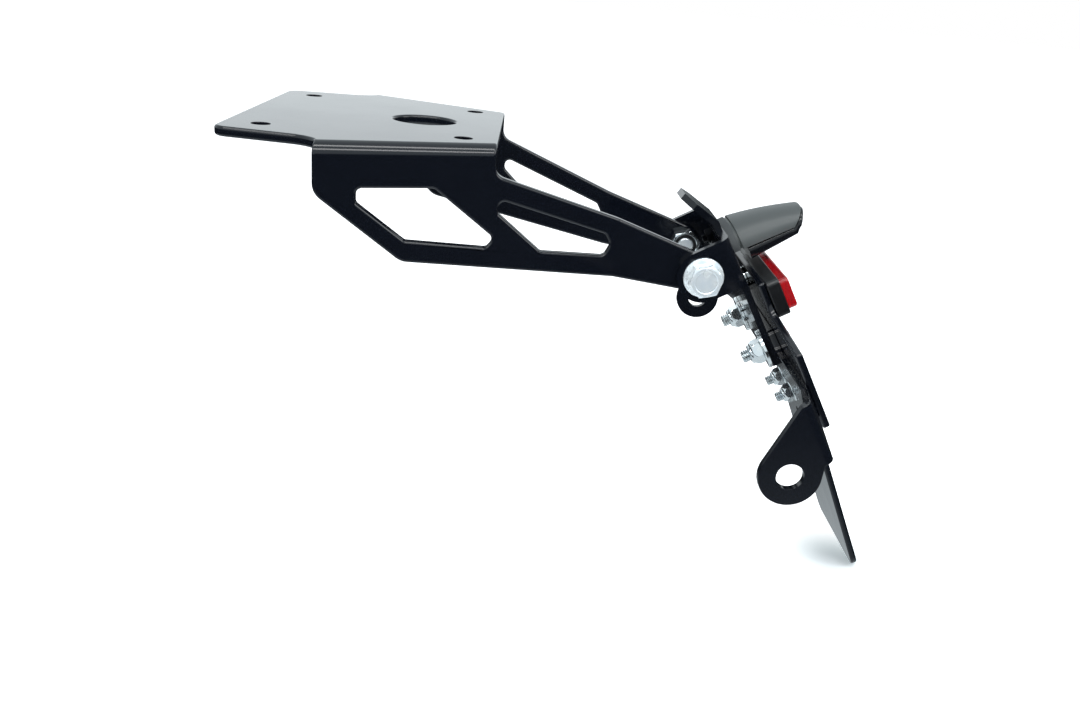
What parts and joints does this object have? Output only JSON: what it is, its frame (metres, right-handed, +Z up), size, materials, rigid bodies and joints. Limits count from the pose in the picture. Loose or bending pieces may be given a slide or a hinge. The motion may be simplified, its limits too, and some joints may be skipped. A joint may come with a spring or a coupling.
{
  "type": "tail tidy",
  "caption": "Folded black tail bracket for a motorbike, with a tilting hanger that carries a number plate, plate lamp, red reflector and indicator tabs.",
  "frame": {"origin": "midway between the two front bolt holes, on the top face of the main bracket", "axes": "+X to the rear of the bike, +Y to its right, +Z up along the tail bolts"},
  "size_m": [0.299, 0.2216, 0.1943],
  "materials": {
    "powder_coat": "semi-gloss black powder coat",
    "zinc_plate": "bright zinc plate",
    "black_zinc": "black zinc plate",
    "gasket": "matt dark grey rubber",
    "lamp_plastic": "satin black plastic",
    "clear_lens": "smoked plastic",
    "circuit_board": "green circuit board",
    "diode": "yellow-white phosphor",
    "reflector_plastic": "black moulded plastic",
    "red_lens": "red prismatic reflector"
  },
  "bodies": {
    "bracket": {"main_bracket": "powder_coat", "pivot_bolt_left": "zinc_plate", "pivot_bolt_right": "zinc_plate", "pivot_nut_left": "zinc_plate", "pivot_nut_right": "zinc_plate"},
    "hanger": {"carrier_bolt_left": "zinc_plate", "carrier_bolt_right": "zinc_plate", "carrier_nut_left": "zinc_plate", "carrier_nut_right": "zinc_plate", "carrier_washer_left": "zinc_plate", "carrier_washer_right": "zinc_plate", "hinge_bracket": "powder_coat", "indicator_bar": "powder_coat", "lamp_board": "circuit_board", "lamp_gasket": "gasket", "lamp_housing": "lamp_plastic", "lamp_led_left": "diode", "lamp_led_middle": "diode", "lamp_led_right": "diode", "lamp_lens": "clear_lens", "lamp_nut_left": "black_zinc", "lamp_nut_right": "black_zinc", "lamp_stud_left": "black_zinc", "lamp_stud_right": "black_zinc", "plate_carrier": "powder_coat", "plate_nut_left": "zinc_plate", "plate_nut_right": "zinc_plate", "plate_screw_left": "zinc_plate", "plate_screw_right": "zinc_plate", "plate_washer_left": "zinc_plate", "plate_washer_right": "zinc_plate", "reflector_body": "reflector_plastic", "reflector_lens": "red_lens", "reflector_nut": "zinc_plate", "reflector_spacer": "zinc_plate", "reflector_stud": "zinc_plate"}
  },
  "joints": [
    {"name": "plate_tilt", "type": "hinge", "parent": "bracket", "child": "hanger", "pos_m": [0.1846, 0, -0.0516], "axis": [0, 1, 0], "range_deg": [-20, 30]}
  ]
}
